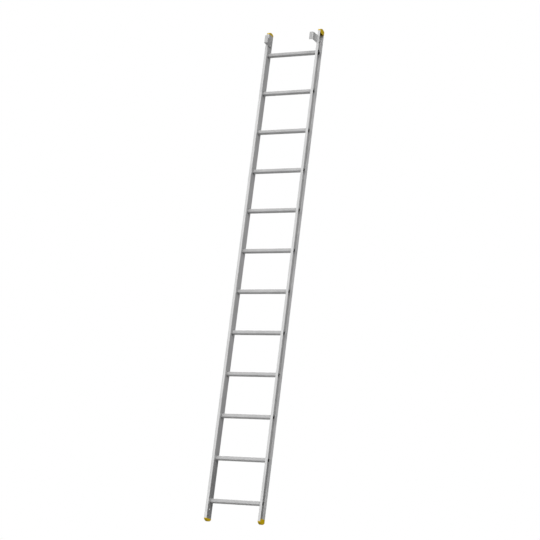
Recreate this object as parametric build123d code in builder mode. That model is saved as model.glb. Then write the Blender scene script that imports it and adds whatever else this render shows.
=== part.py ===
"""Fixed ladder module: two channel stiles, round-cornered rungs, bent hook brackets and plastic end caps.

Millimetres. +Z runs up the stiles, X across them, and the hook brackets stand out towards -Y.
The origin lies between the feet, on the middle plane of the stiles, at the height of the soles.
"""
import os

from build123d import *

# Rungs and their spacing
rung_count = 12
rung_pitch = 300.0
rung_side = 28.0
rung_corner = 7.0
rung_wall = 2.0
rung_tilt = 15.0
tread_groove_count = 5
tread_groove_pitch = 3.2
tread_groove_width = 1.4
tread_groove_depth = 0.7

# Rung fastening: a bead inside the web and a flare outside it
bead_reach = 2.5
bead_length = 3.0
flare_reach = 1.8
flare_length = 5.0
rung_clearance = 0.15

# Plugs in the open ends of the top rung
rung_plug_overhang = 2.7
rung_plug_head = 4.0
rung_plug_edge = 1.0
rung_plug_stem = 14.0
rung_plug_wall = 2.0
rung_plug_clearance = 0.2

# Stiles
clear_width = 400.0
stile_depth = 66.0
stile_flange = 20.0
web_wall = 2.5
flange_wall = 2.5
web_corner = 2.2
inner_corner = 1.2
tip_round = 0.8
top_rung_to_end = 160.0
bottom_rung_to_end = 122.0

# Joining holes near the lower ends of the stiles
joining_hole_radius = 4.5
joining_hole_height = 63.0
joining_hole_forward = 5.0

# End caps
cap_front_rim = 5.0
cap_back_rim = 9.0
cap_dome = 20.5
cap_plug_depth = 17.0
cap_wall = 3.0
cap_clearance = 0.2
cap_edge = 1.5

# Hook brackets
hook_height = 57.0
hook_wall = 4.0
hook_reach = 63.5
hook_lip = 30.0
hook_bend = 4.0
hook_corner = 3.0
hook_overlap = 46.0
hook_below_end = 64.0

# Hook rivets
rivet_spacing = 40.0
rivet_radius = 3.2
rivet_hole_clearance = 0.1
rivet_head_radius = 6.5
rivet_head_height = 2.4
rivet_head_taper = 30.0
rivet_tail_radius = 4.8
rivet_tail_height = 6.0
rivet_tail_taper = 12.0
rivet_bore_radius = 1.6

# Places that follow from the sizes above
web_inner = clear_width / 2
web_outer = web_inner + web_wall
flange_tip = web_inner + stile_flange
rung_end = web_outer + flare_length
stile_length = bottom_rung_to_end + rung_pitch * (rung_count - 1) + top_rung_to_end
stile_bottom = cap_dome
stile_top = stile_bottom + stile_length
hook_middle = stile_top - hook_below_end
hook_side = -stile_depth / 2


def rung_height(number):
    """Height of a rung's centre; rung 1 is the lowest."""
    return stile_bottom + bottom_rung_to_end + rung_pitch * (number - 1)


def rung_plane(number, across):
    """Section plane of a rung at a place across the ladder, turned so that the tread faces the climber."""
    centre = (across, 0, rung_height(number))
    tread_line = Vector(0, 1, 0).rotate(Axis.X, -rung_tilt)
    return Plane(origin=centre, x_dir=tread_line, z_dir=(1, 0, 0))


def make_stile():
    """Right stile: a channel open to the outside, with its web towards the rungs."""
    with BuildPart() as stile:
        with BuildSketch(Plane.XY.offset(stile_bottom)) as section:
            with Locations((web_inner, 0)):
                Rectangle(stile_flange, stile_depth, align=(Align.MIN, Align.CENTER))
            with Locations((web_outer, 0)):
                channel_depth = stile_depth - 2 * flange_wall
                Rectangle(stile_flange, channel_depth, align=(Align.MIN, Align.CENTER), mode=Mode.SUBTRACT)
            flange_tips = section.vertices().group_by(Axis.X)[-1]
            fillet(flange_tips, tip_round)
            channel_corners = section.vertices().group_by(Axis.X)[1]
            fillet(channel_corners, inner_corner)
            web_corners = section.vertices().group_by(Axis.X)[0]
            fillet(web_corners, web_corner)
        extrude(amount=stile_length)
        for number in range(1, rung_count + 1):
            hole_side = rung_side + 2 * rung_clearance
            with BuildSketch(rung_plane(number, web_inner)):
                RectangleRounded(hole_side, hole_side, rung_corner + rung_clearance)
            extrude(amount=web_wall, mode=Mode.SUBTRACT)
        with BuildSketch(Plane.YZ.offset(web_inner)):
            with Locations((-joining_hole_forward, stile_bottom + joining_hole_height)):
                Circle(joining_hole_radius)
            with Locations((0, hook_middle)):
                with GridLocations(0, rivet_spacing, 1, 2):
                    Circle(rivet_radius + rivet_hole_clearance)
        extrude(amount=web_wall, mode=Mode.SUBTRACT)
    return stile.part


def make_rung(number):
    """One rung: a grooved tube, beaded against the inside of each web and flared over the outside."""
    with BuildPart() as rung:
        with BuildSketch(rung_plane(number, -rung_end)):
            RectangleRounded(rung_side, rung_side, rung_corner)
            with Locations((0, rung_side / 2)):
                with GridLocations(tread_groove_pitch, 0, tread_groove_count, 1):
                    Rectangle(tread_groove_width, 2 * tread_groove_depth, mode=Mode.SUBTRACT)
        extrude(amount=2 * rung_end)
        bead_side = rung_side + 2 * bead_reach
        for across in (-web_inner, web_inner - bead_length):
            with BuildSketch(rung_plane(number, across)):
                RectangleRounded(bead_side, bead_side, rung_corner + bead_reach)
            extrude(amount=bead_length)
        flare_side = rung_side + 2 * flare_reach
        for across in (-rung_end, web_outer):
            with BuildSketch(rung_plane(number, across)):
                RectangleRounded(flare_side, flare_side, rung_corner + flare_reach)
            extrude(amount=flare_length)
        bore_side = rung_side - 2 * rung_wall
        with BuildSketch(rung_plane(number, -rung_end)):
            RectangleRounded(bore_side, bore_side, rung_corner - rung_wall)
        extrude(amount=2 * rung_end, mode=Mode.SUBTRACT)
    return rung.part


def make_rung_plug():
    """Right plug of the top rung: a hollow stem in the tube under a round head that covers the flared end."""
    head_radius = rung_side / 2 + flare_reach + rung_plug_overhang
    stem_side = rung_side - 2 * rung_wall - 2 * rung_plug_clearance
    stem_corner = rung_corner - rung_wall - rung_plug_clearance
    cavity_side = stem_side - 2 * rung_plug_wall
    cavity_corner = stem_corner - rung_plug_wall
    with BuildPart() as plug:
        with BuildSketch(rung_plane(rung_count, rung_end)):
            Circle(head_radius)
        extrude(amount=rung_plug_head)
        outer_rim = plug.edges().filter_by(GeomType.CIRCLE).sort_by(Axis.X)[-1]
        fillet(outer_rim, rung_plug_edge)
        with BuildSketch(rung_plane(rung_count, rung_end)):
            RectangleRounded(stem_side, stem_side, stem_corner)
        extrude(amount=-rung_plug_stem)
        with BuildSketch(rung_plane(rung_count, rung_end - rung_plug_stem)):
            RectangleRounded(cavity_side, cavity_side, cavity_corner)
        extrude(amount=rung_plug_stem, mode=Mode.SUBTRACT)
    return plug.part


def make_cap():
    """Right top cap: a hollow plug in the channel under a dome that covers the stile's end."""
    half_depth = stile_depth / 2
    plug_depth = stile_depth - 2 * flange_wall - 2 * cap_clearance
    plug_start = web_outer + cap_clearance
    plug_width = flange_tip - plug_start
    with BuildPart() as cap:
        with BuildSketch(Plane.YZ.offset(web_inner)):
            with BuildLine():
                front_seat = (-half_depth, stile_top)
                front_rim = (-half_depth, stile_top + cap_front_rim)
                crown = (0, stile_top + cap_dome)
                back_rim = (half_depth, stile_top + cap_back_rim)
                back_seat = (half_depth, stile_top)
                Line(back_seat, front_seat)
                Line(front_seat, front_rim)
                TangentArc(crown, front_rim, tangent=(-1, 0))
                TangentArc(crown, back_rim, tangent=(1, 0))
                Line(back_rim, back_seat)
            make_face()
        extrude(amount=stile_flange)
        upper_edges = cap.edges().filter_by(GeomType.CIRCLE)
        fillet(upper_edges, cap_edge)
        with BuildSketch(Plane.XY.offset(stile_top)) as plug:
            with Locations((plug_start, 0)):
                Rectangle(plug_width, plug_depth, align=(Align.MIN, Align.CENTER))
            fillet(plug.vertices().group_by(Axis.X)[0], inner_corner)
        extrude(amount=-cap_plug_depth)
        with BuildSketch(Plane.XY.offset(stile_top - cap_plug_depth)):
            with Locations((plug_start + cap_wall, 0)):
                pocket_width = plug_width - 2 * cap_wall
                Rectangle(pocket_width, plug_depth - 2 * cap_wall, align=(Align.MIN, Align.CENTER))
        extrude(amount=cap_plug_depth, mode=Mode.SUBTRACT)
    return cap.part


def make_hook():
    """Right hook bracket: a flat bar along the inner face of the web, bent inwards at its outer end."""
    bar_back = hook_side + hook_overlap
    bar_front = hook_side - hook_reach
    bar_inner = web_inner - hook_wall
    with BuildPart() as hook:
        with BuildSketch(Plane.XY.offset(hook_middle - hook_height / 2)) as section:
            with BuildLine():
                Polyline(
                    (web_inner, bar_back),
                    (web_inner, bar_front),
                    (web_inner - hook_lip, bar_front),
                    (web_inner - hook_lip, bar_front + hook_wall),
                    (bar_inner, bar_front + hook_wall),
                    (bar_inner, bar_back),
                    close=True,
                )
            make_face()
            outer_bend = section.vertices().sort_by_distance((web_inner, bar_front))[0]
            fillet(outer_bend, hook_bend + hook_wall)
            inner_bend = section.vertices().sort_by_distance((bar_inner, bar_front + hook_wall))[0]
            fillet(inner_bend, hook_bend)
        extrude(amount=hook_height)
        lip_corners = hook.edges().filter_by(Axis.Y).group_by(Axis.X)[0]
        fillet(lip_corners, hook_corner)
        back_corners = hook.edges().filter_by(Axis.X).group_by(Axis.Y)[-1]
        fillet(back_corners, hook_corner)
        with BuildSketch(Plane.YZ.offset(bar_inner)):
            with Locations((0, hook_middle)):
                with GridLocations(0, rivet_spacing, 1, 2):
                    Circle(rivet_radius + rivet_hole_clearance)
        extrude(amount=hook_wall, mode=Mode.SUBTRACT)
    return hook.part


def make_hook_rivets():
    """The two blind rivets of the right hook bracket, with domed heads on the inner side."""
    head_face = web_inner - hook_wall
    with BuildPart() as rivets:
        for side in (-1, 1):
            height = hook_middle + side * rivet_spacing / 2
            axis_plane = Plane(origin=(head_face, 0, height), x_dir=(0, 1, 0), z_dir=(1, 0, 0))
            with BuildSketch(axis_plane):
                Circle(rivet_radius)
            extrude(amount=hook_wall + web_wall)
            with BuildSketch(axis_plane):
                Circle(rivet_head_radius)
            extrude(amount=-rivet_head_height, taper=rivet_head_taper)
            with BuildSketch(axis_plane.offset(hook_wall + web_wall)):
                Circle(rivet_tail_radius)
            extrude(amount=rivet_tail_height, taper=rivet_tail_taper)
            with BuildSketch(axis_plane.offset(-rivet_head_height)):
                Circle(rivet_bore_radius)
            extrude(amount=rivet_head_height, mode=Mode.SUBTRACT)
    return rivets.part


def save(part, name):
    """Labels a finished piece and writes it to its own file."""
    part.label = name
    export_step(part, f"parts/{name}.step")


os.makedirs("parts", exist_ok=True)

stile = make_stile()
save(stile, "right_stile")
save(mirror(stile, about=Plane.YZ), "left_stile")

for rung_number in range(1, rung_count + 1):
    save(make_rung(rung_number), f"rung_{rung_number:02d}")

rung_plug = make_rung_plug()
save(rung_plug, "rung_plug_right")
save(mirror(rung_plug, about=Plane.YZ), "rung_plug_left")

cap = make_cap()
mid_height = (stile_bottom + stile_top) / 2
foot = mirror(cap, about=Plane.XY.offset(mid_height))
save(cap, "top_cap_right")
save(mirror(cap, about=Plane.YZ), "top_cap_left")
save(foot, "foot_right")
save(mirror(foot, about=Plane.YZ), "foot_left")

hook = make_hook()
save(hook, "hook_right")
save(mirror(hook, about=Plane.YZ), "hook_left")

rivets = make_hook_rivets()
save(rivets, "hook_rivets_right")
save(mirror(rivets, about=Plane.YZ), "hook_rivets_left")
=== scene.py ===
"""Looks of the fixed ladder module: metal and plastic finishes, a white studio and the photograph's camera.

Metres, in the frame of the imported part: +Z runs up the stiles and the hook brackets stand out towards -Y.
"""
import math

import bpy
from mathutils import Matrix, Vector

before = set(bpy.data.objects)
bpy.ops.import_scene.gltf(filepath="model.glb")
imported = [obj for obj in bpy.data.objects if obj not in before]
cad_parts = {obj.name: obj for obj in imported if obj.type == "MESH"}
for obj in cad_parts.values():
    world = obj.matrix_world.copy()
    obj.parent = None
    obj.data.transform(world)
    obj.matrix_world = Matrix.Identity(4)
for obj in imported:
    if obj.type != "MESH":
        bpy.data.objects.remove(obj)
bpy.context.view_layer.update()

# Camera: the ladder is seen from its hook side, from the right and from below
image_side = 540
focal_pixels = 1820.54
sensor_millimetres = 36.0
view_target = Vector((0.0353, 0.0, 1.8018))
view_distance = 12.898
view_heading = math.radians(28.919)
view_rise = math.radians(14.195)
view_roll = math.radians(7.154)

# Studio: the floor's colour as it is seen, and the even light that it sends back to the ladder
white = (1.0, 1.0, 1.0, 1.0)
backdrop_strength = 1.0
ambient_strength = 0.24
floor_colour = (0.95, 0.95, 0.945, 1.0)
floor_glow = 0.3
floor_half_side = 10.0
floor_fade = (4.5, 9.0)

# Lamps: azimuth from the hook side towards +X and elevation, in degrees, then watts on a square metre
lamp_softness = math.radians(38.0)
lamps = {
    "key_lamp": (32.0, 42.0, 1.9),
    "back_lamp": (200.0, 35.0, 1.12),
    "side_lamp": (-60.0, 20.0, 0.77),
}

# Grey card that the metal mirrors on its shaded side: its heights from dark to light, and those two levels
card_heading = math.radians(29.0)
card_distance = 1.4
card_width = 3.0
card_height = 6.0
card_heights = (0.4, 1.5)
card_levels = (0.0, 0.3)

# Aluminium finishes: grey level, lines in a metre along X, Y and Z, metallic share and roughness
stile_metal = (0.67, (700.0, 700.0, 1.5), 0.4, 0.4)
rung_metal = (0.52, (2.0, 800.0, 800.0), 0.25, 0.6)
bracket_metal = (0.5, (600.0, 8.0, 600.0), 0.4, 0.42)
rivet_metal = (0.54, (400.0, 400.0, 400.0), 0.4, 0.35)

# Marks on all aluminium: the share of lines and of clouds in its tone, tones as shares of the grey level,
# then sizes and strengths
metal_gloss = 0.3
tone_share = 0.5
drawn_tones = (0.89, 1.08)
scuff_tone = 1.2
edge_tone = 1.18
# Tone of the painted shade on sideways faces, rung flares and rivet tails
painted_shade_tone = 0.42
# Tone of the painted shade in recesses
recess_shade_tone = 0.06
cloud_scale = (11.0, 11.0, 5.0)
speck_scale = (1400.0, 1400.0, 1400.0)
scuff_scale = (18.0, 60.0, 7.0)
scuff_turn = (0.5, 0.3, 0.4)
scuff_width = 0.004
scuff_strength = 0.5
metal_edge_width = 0.0012
metal_edge_strength = 0.5
edge_polish = 0.1
roughness_swing = 0.07
speck_relief = 0.4
metal_relief = {"Strength": 0.25, "Distance": 0.0001}

# Moulded plastics: yellow caps and feet, black rung plugs, each with its deep, pale, edge and pocket colours
# The pocket colour is painted shade in the hollows
cap_colours = (
    (0.712, 0.485, 0.002, 1.0),
    (0.788, 0.547, 0.003, 1.0),
    (0.819, 0.596, 0.02, 1.0),
    (0.04, 0.022, 0.001, 1.0),
)
plug_colours = (
    (0.012, 0.012, 0.012, 1.0),
    (0.019, 0.019, 0.019, 1.0),
    (0.045, 0.045, 0.045, 1.0),
    (0.004, 0.004, 0.004, 1.0),
)
plastic_gloss = 0.12
flow_scale = (45.0, 45.0, 45.0)
grain_scale = (1100.0, 1100.0, 1100.0)
plastic_edge_width = 0.001
plastic_edge_strength = 0.35
plastic_roughness = (0.42, 0.56)
plastic_relief = {"Strength": 0.5, "Distance": 0.00012}

# Noise values between which a pattern goes from one end to the other
sharp_noise = (0.35, 0.65)
soft_noise = (0.3, 0.7)
noise_middle = 0.5

# Edges: likeness of the rounded and the plain surface, from open faces to sharp edges
edge_limits = (0.99, 0.8)
edge_samples = 4

# Recesses: how far their walls are looked for, and the open share at which painted shade begins and is full
recess_reach = 0.03
recess_samples = 8
corner_limits = (0.5, 0.1)
hole_limits = (0.75, 0.35)
pocket_limits = (0.8, 0.4)
bore_limits = (0.85, 0.5)
groove_share = 0.3

# Distances from the middle plane over which the rungs' bores and the rivets' tails begin
bore_begins = (0.18, 0.195)
tail_begins = (0.2024, 0.203)

# Painted shade on the sideways faces of the stiles: shares between the stiles and in the channels, then at
# the joints, and darker in the lowest bay and towards the feet
sideways_limits = (0.7, 0.95)
channel_limits = (-0.5, 0.5)
web_shares = (0.19, 0.55)
joint_reach = 0.025
joint_limits = (0.84, 0.43)
bay_heights = (0.5, 0.38)
bay_share = 0.33
foot_heights = (0.35, 0.0)
foot_share = 0.22

# Thin painted shade on the flares of the rungs, where they stand in the channels
flare_shade_share = 0.3

# Sockets of the colour mixing node, whose names repeat
mix_colour_inputs = (6, 7)
mix_colour_output = 2


def add_node(tree, kind, inputs=None, **attributes):
    """Adds a node, sets its attributes and gives its named input sockets their values."""
    node = tree.nodes.new(kind)
    for name, value in attributes.items():
        setattr(node, name, value)
    for name, value in (inputs or {}).items():
        node.inputs[name].default_value = value
    return node


def math_node(tree, operation, first, second=0.0):
    """Joins two sockets, or a socket and a number, by one operation."""
    node = add_node(tree, "ShaderNodeMath", operation=operation)
    for socket, value in zip(node.inputs, (first, second)):
        if isinstance(value, float):
            socket.default_value = value
        else:
            tree.links.new(value, socket)
    return node.outputs["Value"]


def spread(tree, value, limits, results=(0.0, 1.0)):
    """Maps a value from one range to another and holds it at the ends."""
    node = add_node(
        tree,
        "ShaderNodeMapRange",
        {"From Min": limits[0], "From Max": limits[1], "To Min": results[0], "To Max": results[1]},
    )
    tree.links.new(value, node.inputs["Value"])
    return node.outputs["Result"]


def add_noise(tree, scale, detail, turn=(0.0, 0.0, 0.0)):
    """Noise in the ladder's own frame: scale gives the number of features in a metre along each axis."""
    place = add_node(tree, "ShaderNodeTexCoord")
    mapping = add_node(tree, "ShaderNodeMapping", {"Scale": scale, "Rotation": turn})
    noise = add_node(tree, "ShaderNodeTexNoise", {"Scale": 1.0, "Detail": detail})
    tree.links.new(place.outputs["Object"], mapping.inputs["Vector"])
    tree.links.new(mapping.outputs["Vector"], noise.inputs["Vector"])
    return noise.outputs["Fac"]


def blend_colours(tree, factor, first, second):
    """Goes from the first colour to the second as the factor goes from 0 to 1."""
    node = add_node(tree, "ShaderNodeMix", data_type="RGBA")
    tree.links.new(factor, node.inputs["Factor"])
    for index, value in zip(mix_colour_inputs, (first, second)):
        socket = node.inputs[index]
        if isinstance(value, tuple):
            socket.default_value = value
        else:
            tree.links.new(value, socket)
    return node.outputs[mix_colour_output]


def blend_shaders(tree, factor, first, second):
    """Goes from the first shader to the second as the factor goes from 0 to 1."""
    node = add_node(tree, "ShaderNodeMixShader")
    tree.links.new(factor, node.inputs["Fac"])
    tree.links.new(first, node.inputs[1])
    tree.links.new(second, node.inputs[2])
    return node.outputs["Shader"]


def own_axes(tree, output):
    """The three parts of a vector in the ladder's own frame: a place or the way that a face looks."""
    own_frame = add_node(tree, "ShaderNodeTexCoord")
    axes = add_node(tree, "ShaderNodeSeparateXYZ")
    tree.links.new(own_frame.outputs[output], axes.inputs["Vector"])
    return axes.outputs


def edge_mask(tree, radius):
    """1 along sharp edges and 0 on open faces, about as wide as the radius."""
    rounded = add_node(tree, "ShaderNodeBevel", {"Radius": radius}, samples=edge_samples)
    surface = add_node(tree, "ShaderNodeNewGeometry")
    alike = add_node(tree, "ShaderNodeVectorMath", operation="DOT_PRODUCT")
    tree.links.new(rounded.outputs["Normal"], alike.inputs[0])
    tree.links.new(surface.outputs["Normal"], alike.inputs[1])
    return spread(tree, alike.outputs["Value"], edge_limits)


def painted_recess_shade(tree, limits, reach=recess_reach, own_piece_only=True):
    """Painted shade: 1 deep in recesses and 0 on open faces, judged by the share of the near surroundings
    that is open.
    """
    opening = add_node(
        tree,
        "ShaderNodeAmbientOcclusion",
        {"Distance": reach},
        samples=recess_samples,
        only_local=own_piece_only,
    )
    return spread(tree, opening.outputs["AO"], limits)


def across_ladder(tree):
    """Distance from the middle plane between the stiles."""
    return math_node(tree, "ABSOLUTE", own_axes(tree, "Object")["X"])


def stile_recess(tree):
    """Shade in narrow corners only."""
    return painted_recess_shade(tree, corner_limits)


def fitting_recess(tree):
    """Shade in corners and small holes."""
    return painted_recess_shade(tree, hole_limits)


def rung_recess(tree):
    """Full shade in the bores at the rung's ends and a faint one in the grooves of its tread."""
    share = spread(tree, across_ladder(tree), bore_begins, (groove_share, 1.0))
    return math_node(tree, "MULTIPLY", painted_recess_shade(tree, bore_limits), share)


def sideways_shade(tree):
    """Painted shade on the sideways faces: deep in the channels, around the joints, and darker in the lowest
    bay and towards the feet.
    """
    facing = own_axes(tree, "Normal")
    place = own_axes(tree, "Object")
    sideways = spread(tree, math_node(tree, "ABSOLUTE", facing["X"]), sideways_limits)
    side = math_node(tree, "SIGN", place["X"])
    outwards = math_node(tree, "MULTIPLY", facing["X"], side)
    channel = spread(tree, outwards, channel_limits, web_shares)
    # Painted shade around the joints, where the rungs meet the webs
    joint = painted_recess_shade(tree, joint_limits, joint_reach, own_piece_only=False)
    bay = spread(tree, place["Z"], bay_heights, (0.0, bay_share))
    foot = spread(tree, place["Z"], foot_heights, (0.0, foot_share))
    low = math_node(tree, "ADD", bay, foot)
    shade_share = math_node(tree, "ADD", math_node(tree, "MAXIMUM", joint, low), channel)
    return math_node(tree, "MULTIPLY", sideways, shade_share)


def tail_shade(tree):
    """1 on the rivet tails, which stand in the channels, and 0 on the heads: it places painted shade on the
    tails.
    """
    return spread(tree, across_ladder(tree), tail_begins)


def flare_shade(tree):
    """Thin painted shade on the flared ends of the rungs, which stand in the channels."""
    return math_node(tree, "MULTIPLY", tail_shade(tree), flare_shade_share)


def grey(level):
    """A neutral colour."""
    return (level, level, level, 1.0)


def new_material(name, metallic, gloss):
    """A node material with one shader, whose metallic share and gloss level are the same all over."""
    material = bpy.data.materials.new(name)
    material.use_nodes = True
    shader = material.node_tree.nodes["Principled BSDF"]
    shader.inputs["Metallic"].default_value = metallic
    shader.inputs["Specular IOR Level"].default_value = gloss
    return material, material.node_tree, shader


def add_relief(tree, shader, height, depth):
    """Gives a shader the fine relief of a height pattern."""
    bump = add_node(tree, "ShaderNodeBump", depth)
    tree.links.new(height, bump.inputs["Height"])
    tree.links.new(bump.outputs["Normal"], shader.inputs["Normal"])


def scuff_mask(tree):
    """1 along thin winding scuffs."""
    field = add_noise(tree, scuff_scale, detail=1.0, turn=scuff_turn)
    off_line = math_node(tree, "ABSOLUTE", math_node(tree, "SUBTRACT", field, noise_middle))
    lines = spread(tree, off_line, (scuff_width, 0.0))
    return math_node(tree, "MULTIPLY", lines, scuff_strength)


def make_drawn_aluminium(name, metal, recess, painted_shade=None):
    """Extruded or rolled aluminium: lines along the grain, broad clouds, thin scuffs and brighter edges, with
    painted shade on the faces that a mask picks and in recesses.
    """
    level, grain, metallic, roughness = metal
    material, tree, shader = new_material(name, metallic, metal_gloss)
    lines = add_noise(tree, grain, detail=4.0)
    clouds = add_noise(tree, cloud_scale, detail=3.0)
    specks = add_noise(tree, speck_scale, detail=1.0)
    edges = edge_mask(tree, metal_edge_width)

    half_lines = math_node(tree, "MULTIPLY", lines, tone_share)
    half_clouds = math_node(tree, "MULTIPLY", clouds, tone_share)
    tone = math_node(tree, "ADD", half_lines, half_clouds)
    dark, pale = drawn_tones
    drawn = blend_colours(tree, spread(tree, tone, sharp_noise), grey(level * dark), grey(level * pale))
    scuffed = blend_colours(tree, scuff_mask(tree), drawn, grey(level * scuff_tone))
    wear = math_node(tree, "MULTIPLY", edges, metal_edge_strength)
    worn = blend_colours(tree, wear, scuffed, grey(level * edge_tone))
    # Painted shade on the faces that the given mask picks
    if painted_shade:
        worn = blend_colours(tree, painted_shade(tree), worn, grey(level * painted_shade_tone))
    # Painted shade in the recesses
    recess_shaded = blend_colours(tree, recess(tree), worn, grey(level * recess_shade_tone))
    tree.links.new(recess_shaded, shader.inputs["Base Color"])

    swing = (roughness - roughness_swing, roughness + roughness_swing)
    uneven = spread(tree, tone, soft_noise, swing)
    polished = math_node(tree, "SUBTRACT", uneven, math_node(tree, "MULTIPLY", edges, edge_polish))
    tree.links.new(polished, shader.inputs["Roughness"])

    height = math_node(tree, "ADD", lines, math_node(tree, "MULTIPLY", specks, speck_relief))
    add_relief(tree, shader, height, metal_relief)
    return material


def make_moulded_plastic(name, colours):
    """Moulded plastic: a spark-eroded grain, faint flow clouds, paler edges and painted shade in the pockets.
    """
    deep, pale, edge, pocket = colours
    material, tree, shader = new_material(name, 0.0, plastic_gloss)
    clouds = add_noise(tree, flow_scale, detail=3.0)
    grain = add_noise(tree, grain_scale, detail=2.0)
    edges = edge_mask(tree, plastic_edge_width)

    moulded = blend_colours(tree, spread(tree, clouds, soft_noise), deep, pale)
    wear = math_node(tree, "MULTIPLY", edges, plastic_edge_strength)
    worn = blend_colours(tree, wear, moulded, edge)
    # Painted shade in the pockets
    shaded = blend_colours(tree, painted_recess_shade(tree, pocket_limits), worn, pocket)
    tree.links.new(shaded, shader.inputs["Base Color"])

    uneven = spread(tree, clouds, soft_noise, plastic_roughness)
    tree.links.new(uneven, shader.inputs["Roughness"])
    add_relief(tree, shader, grain, plastic_relief)
    return material


def apply_finishes():
    """Gives every node the finish of its material slot."""
    finishes = {
        "stile_aluminium": make_drawn_aluminium("stile_finish", stile_metal, stile_recess, sideways_shade),
        "rung_aluminium": make_drawn_aluminium("rung_finish", rung_metal, rung_recess, flare_shade),
        "bracket_aluminium": make_drawn_aluminium("bracket_finish", bracket_metal, fitting_recess),
        "rivet_aluminium": make_drawn_aluminium("rivet_finish", rivet_metal, fitting_recess, tail_shade),
        "cap_plastic": make_moulded_plastic("cap_finish", cap_colours),
        "plug_plastic": make_moulded_plastic("plug_finish", plug_colours),
    }
    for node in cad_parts.values():
        slot = node.material_slots[0]
        slot.material = finishes[slot.material.name]


def shown_rays(tree):
    """1 for the rays that show the surroundings: straight to the camera, mirrored or through glass."""
    path = add_node(tree, "ShaderNodeLightPath")
    shown = math_node(tree, "MAXIMUM", path.outputs["Is Camera Ray"], path.outputs["Is Glossy Ray"])
    return math_node(tree, "MAXIMUM", shown, path.outputs["Is Transmission Ray"])


def make_world():
    """White surroundings, which light the ladder from all sides at a lower level."""
    world = bpy.data.worlds.new("studio")
    bpy.context.scene.world = world
    world.use_nodes = True
    tree = world.node_tree
    ambient = tree.nodes["Background"]
    ambient.inputs["Color"].default_value = white
    ambient.inputs["Strength"].default_value = ambient_strength
    backdrop = add_node(tree, "ShaderNodeBackground", {"Color": white, "Strength": backdrop_strength})
    dim = ambient.outputs["Background"]
    bright = backdrop.outputs["Background"]
    surroundings = blend_shaders(tree, shown_rays(tree), dim, bright)
    tree.links.new(surroundings, tree.nodes["World Output"].inputs["Surface"])


def add_sheet(name, corners):
    """One flat four-cornered face of the studio."""
    mesh = bpy.data.meshes.new(name)
    mesh.from_pydata(corners, [], [(0, 1, 2, 3)])
    sheet = bpy.data.objects.new(name, mesh)
    bpy.context.scene.collection.objects.link(sheet)
    return sheet


def add_bare_material(sheet):
    """Gives a sheet a node material that has only its output."""
    material = bpy.data.materials.new(sheet.name)
    material.use_nodes = True
    tree = material.node_tree
    tree.nodes.clear()
    output = add_node(tree, "ShaderNodeOutputMaterial")
    sheet.data.materials.append(material)
    return material, tree, output


def make_floor():
    """A pale floor under the feet. It fades into the white around it, and from below it is clear."""
    side = floor_half_side
    floor = add_sheet("floor", [(-side, -side, 0), (side, -side, 0), (side, side, 0), (-side, side, 0)])
    material, tree, output = add_bare_material(floor)
    material.cycles.emission_sampling = "NONE"

    glow = add_node(tree, "ShaderNodeEmission", {"Color": white, "Strength": floor_glow})
    matt = add_node(tree, "ShaderNodeBsdfDiffuse", {"Color": floor_colour})
    face = blend_shaders(tree, shown_rays(tree), glow.outputs["Emission"], matt.outputs["BSDF"])

    place = add_node(tree, "ShaderNodeTexCoord")
    radius = add_node(tree, "ShaderNodeVectorMath", operation="LENGTH")
    tree.links.new(place.outputs["Object"], radius.inputs[0])
    faded = spread(tree, radius.outputs["Value"], floor_fade)
    surface = add_node(tree, "ShaderNodeNewGeometry")
    clear = math_node(tree, "MAXIMUM", faded, surface.outputs["Backfacing"])
    through = add_node(tree, "ShaderNodeBsdfTransparent")
    tree.links.new(blend_shaders(tree, clear, face, through.outputs["BSDF"]), output.inputs["Surface"])


def make_card():
    """A grey card behind the right side, seen only as a mirror image: it keeps the shaded metal dark."""
    half = card_width / 2
    card = add_sheet("card", [(-half, 0, 0), (half, 0, 0), (half, 0, card_height), (-half, 0, card_height)])
    card.location = (card_distance * math.sin(card_heading), card_distance * math.cos(card_heading), 0.0)
    card.rotation_euler = (0.0, 0.0, -card_heading)
    card.visible_camera = False
    card.visible_diffuse = False
    card.visible_shadow = False
    card.visible_transmission = False
    material, tree, output = add_bare_material(card)

    glow = add_node(tree, "ShaderNodeEmission", {"Color": white})
    level = spread(tree, own_axes(tree, "Object")["Z"], card_heights, card_levels)
    tree.links.new(level, glow.inputs["Strength"])
    tree.links.new(glow.outputs["Emission"], output.inputs["Surface"])


def add_lamp(name, azimuth, elevation, strength):
    """A soft lamp, so far off that it lights the whole length of the ladder evenly."""
    lamp = bpy.data.lights.new(name, "SUN")
    lamp.angle = lamp_softness
    lamp.energy = strength
    around = math.radians(azimuth)
    above = math.radians(elevation)
    towards = Vector((
        math.sin(around) * math.cos(above),
        -math.cos(around) * math.cos(above),
        math.sin(above),
    ))
    lamp_object = bpy.data.objects.new(name, lamp)
    bpy.context.scene.collection.objects.link(lamp_object)
    lamp_object.rotation_euler = towards.to_track_quat("Z", "Y").to_euler()


def make_camera():
    """The camera of the photograph, with its lens given for the square image."""
    forward = Vector((
        -math.sin(view_heading) * math.cos(view_rise),
        math.cos(view_heading) * math.cos(view_rise),
        math.sin(view_rise),
    ))
    level_right = Vector((math.cos(view_heading), math.sin(view_heading), 0.0))
    level_up = level_right.cross(forward)
    right = level_right * math.cos(view_roll) + level_up * math.sin(view_roll)
    up = right.cross(forward)
    turn = Matrix((right, up, -forward)).transposed()
    camera = bpy.data.cameras.new("camera")
    camera.sensor_width = sensor_millimetres
    camera.lens = focal_pixels / image_side * sensor_millimetres
    camera_object = bpy.data.objects.new("camera", camera)
    bpy.context.scene.collection.objects.link(camera_object)
    camera_object.matrix_world = Matrix.Translation(view_target - forward * view_distance) @ turn.to_4x4()
    bpy.context.scene.camera = camera_object


apply_finishes()
make_world()
make_floor()
make_card()
for lamp_name, settings in lamps.items():
    add_lamp(lamp_name, *settings)
make_camera()
bpy.context.scene.view_settings.view_transform = "Standard"
